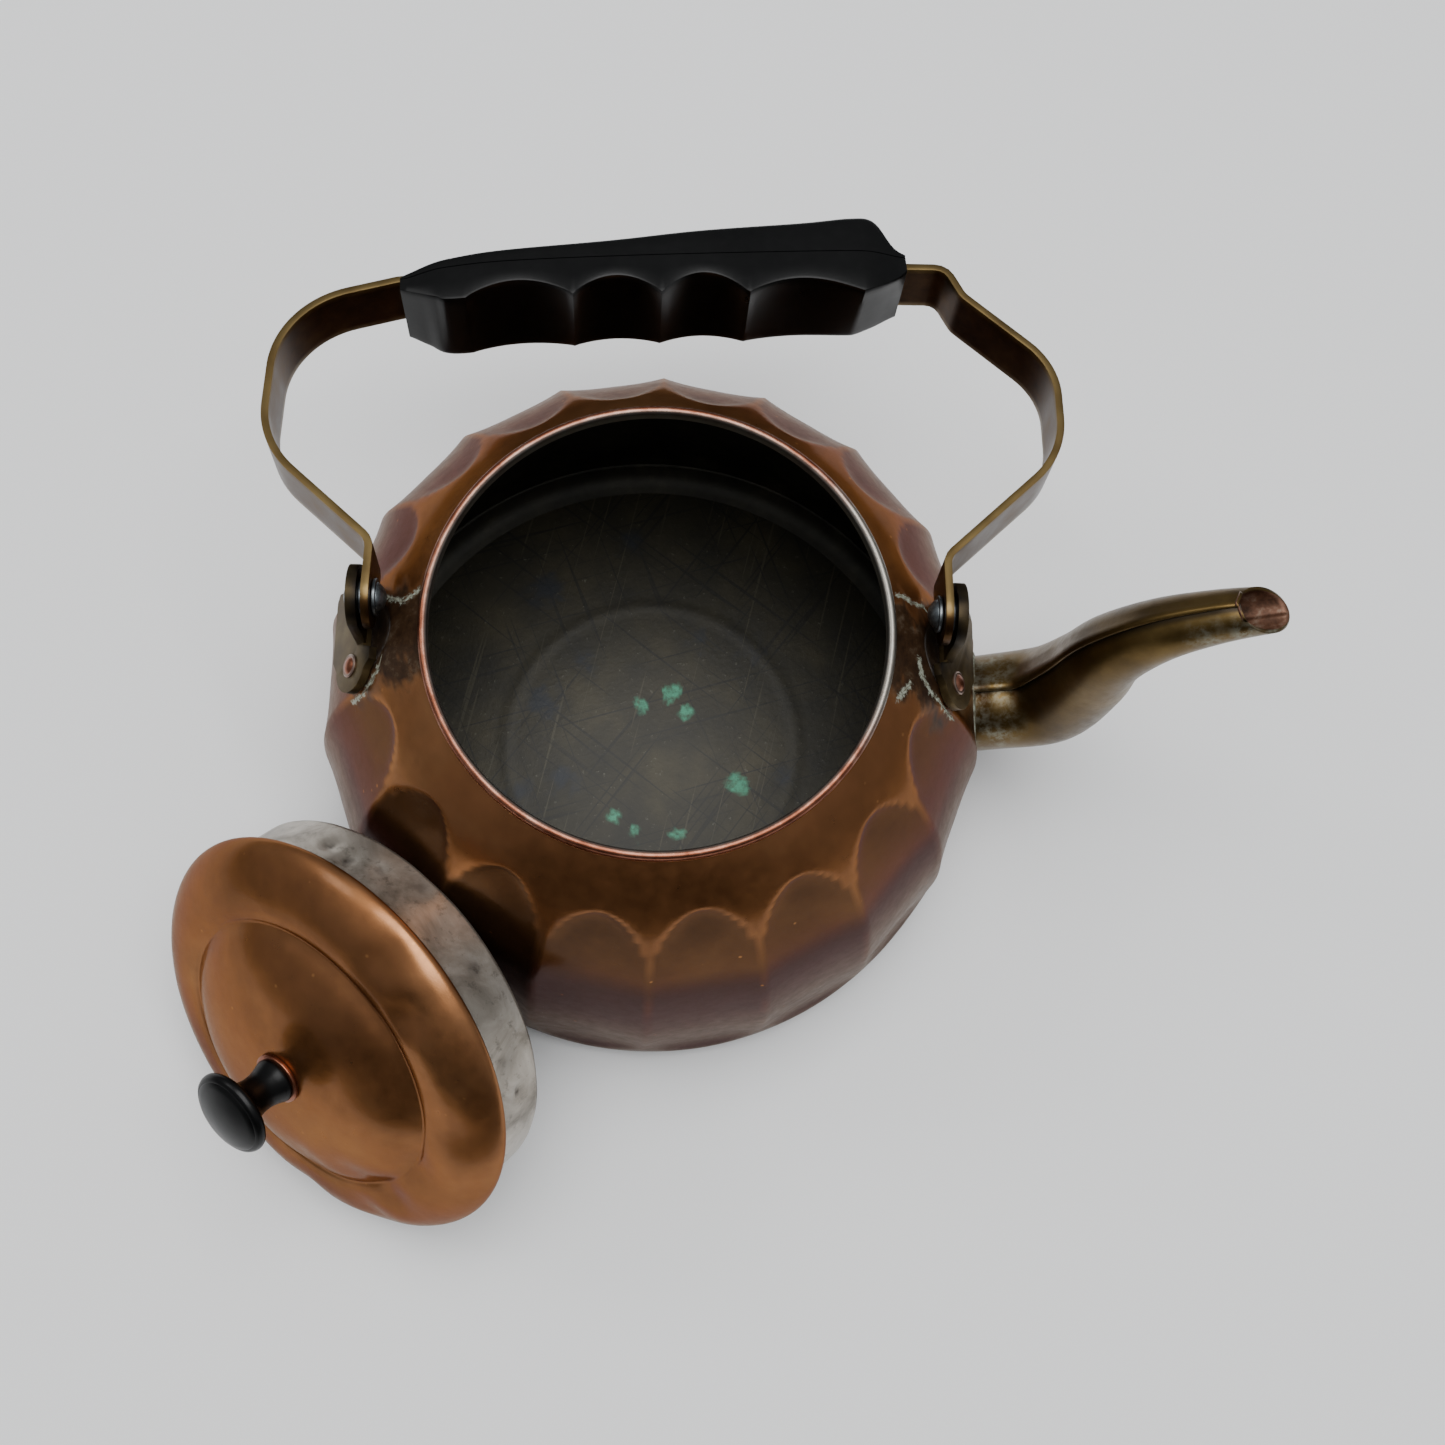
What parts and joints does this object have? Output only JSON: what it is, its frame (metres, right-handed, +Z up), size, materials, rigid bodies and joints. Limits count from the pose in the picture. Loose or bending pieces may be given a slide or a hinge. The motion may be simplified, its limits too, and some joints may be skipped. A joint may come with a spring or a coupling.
{
  "type": "kettle",
  "caption": "Fluted copper kettle with brass S-shaped spout, swinging bail handle with black moulded grip, and a lift-off domed lid leaning against its side.",
  "frame": {"origin": "centre of the kettle's flat base, on the surface it stands on", "axes": "+X towards the spout, +Y towards the folded handle at the back, +Z up through the mouth"},
  "size_m": [0.2689, 0.2464, 0.124],
  "materials": {
    "patinated_copper": "aged copper sheet, brown patina, satin",
    "tinned_copper": "tinned copper, dull grey, wiped by hand",
    "worn_copper": "copper worn bright by handling",
    "spout_brass": "pressed brass sheet, olive-brown patina",
    "lug_brass": "brass plate, dull",
    "strap_brass": "brass strip, dark face with bright rubbed edges",
    "plain_brass": "turned brass",
    "dull_steel": "dull steel",
    "bakelite": "black phenolic moulding, satin gloss"
  },
  "bodies": {
    "kettle": {"body_shell": "patinated_copper", "base_plate": "tinned_copper", "mouth_ring": "worn_copper", "spout_front_half": "spout_brass", "spout_back_half": "spout_brass", "lug_left": "lug_brass", "lug_right": "lug_brass", "lug_rivet_left": "worn_copper", "lug_rivet_right": "worn_copper", "hinge_pin_left": "dull_steel", "hinge_pin_right": "dull_steel", "pin_washers_left": "dull_steel", "pin_washers_right": "dull_steel"},
    "bail": {"bail_strap": "strap_brass", "grip_palm_half": "bakelite", "grip_finger_half": "bakelite", "grip_screws": "dull_steel", "grip_inserts": "plain_brass"},
    "lid": {"lid_dome": "patinated_copper", "lid_collar": "tinned_copper", "knob_foot_ring": "worn_copper", "knob": "bakelite", "knob_insert": "plain_brass", "knob_screw": "dull_steel", "knob_screw_washer": "dull_steel"}
  },
  "joints": [
    {"name": "bail_swing", "type": "hinge", "parent": "kettle", "child": "bail", "pos_m": [0, 0.005, 0.1075], "axis": [1, 0, 0], "range_deg": [0, 176]},
    {"name": "lid_pull", "type": "slide", "parent": "kettle", "child": "lid", "axis": [-0.5759, -0.5964, 0.5592], "range_m": [0, 0.12]}
  ]
}
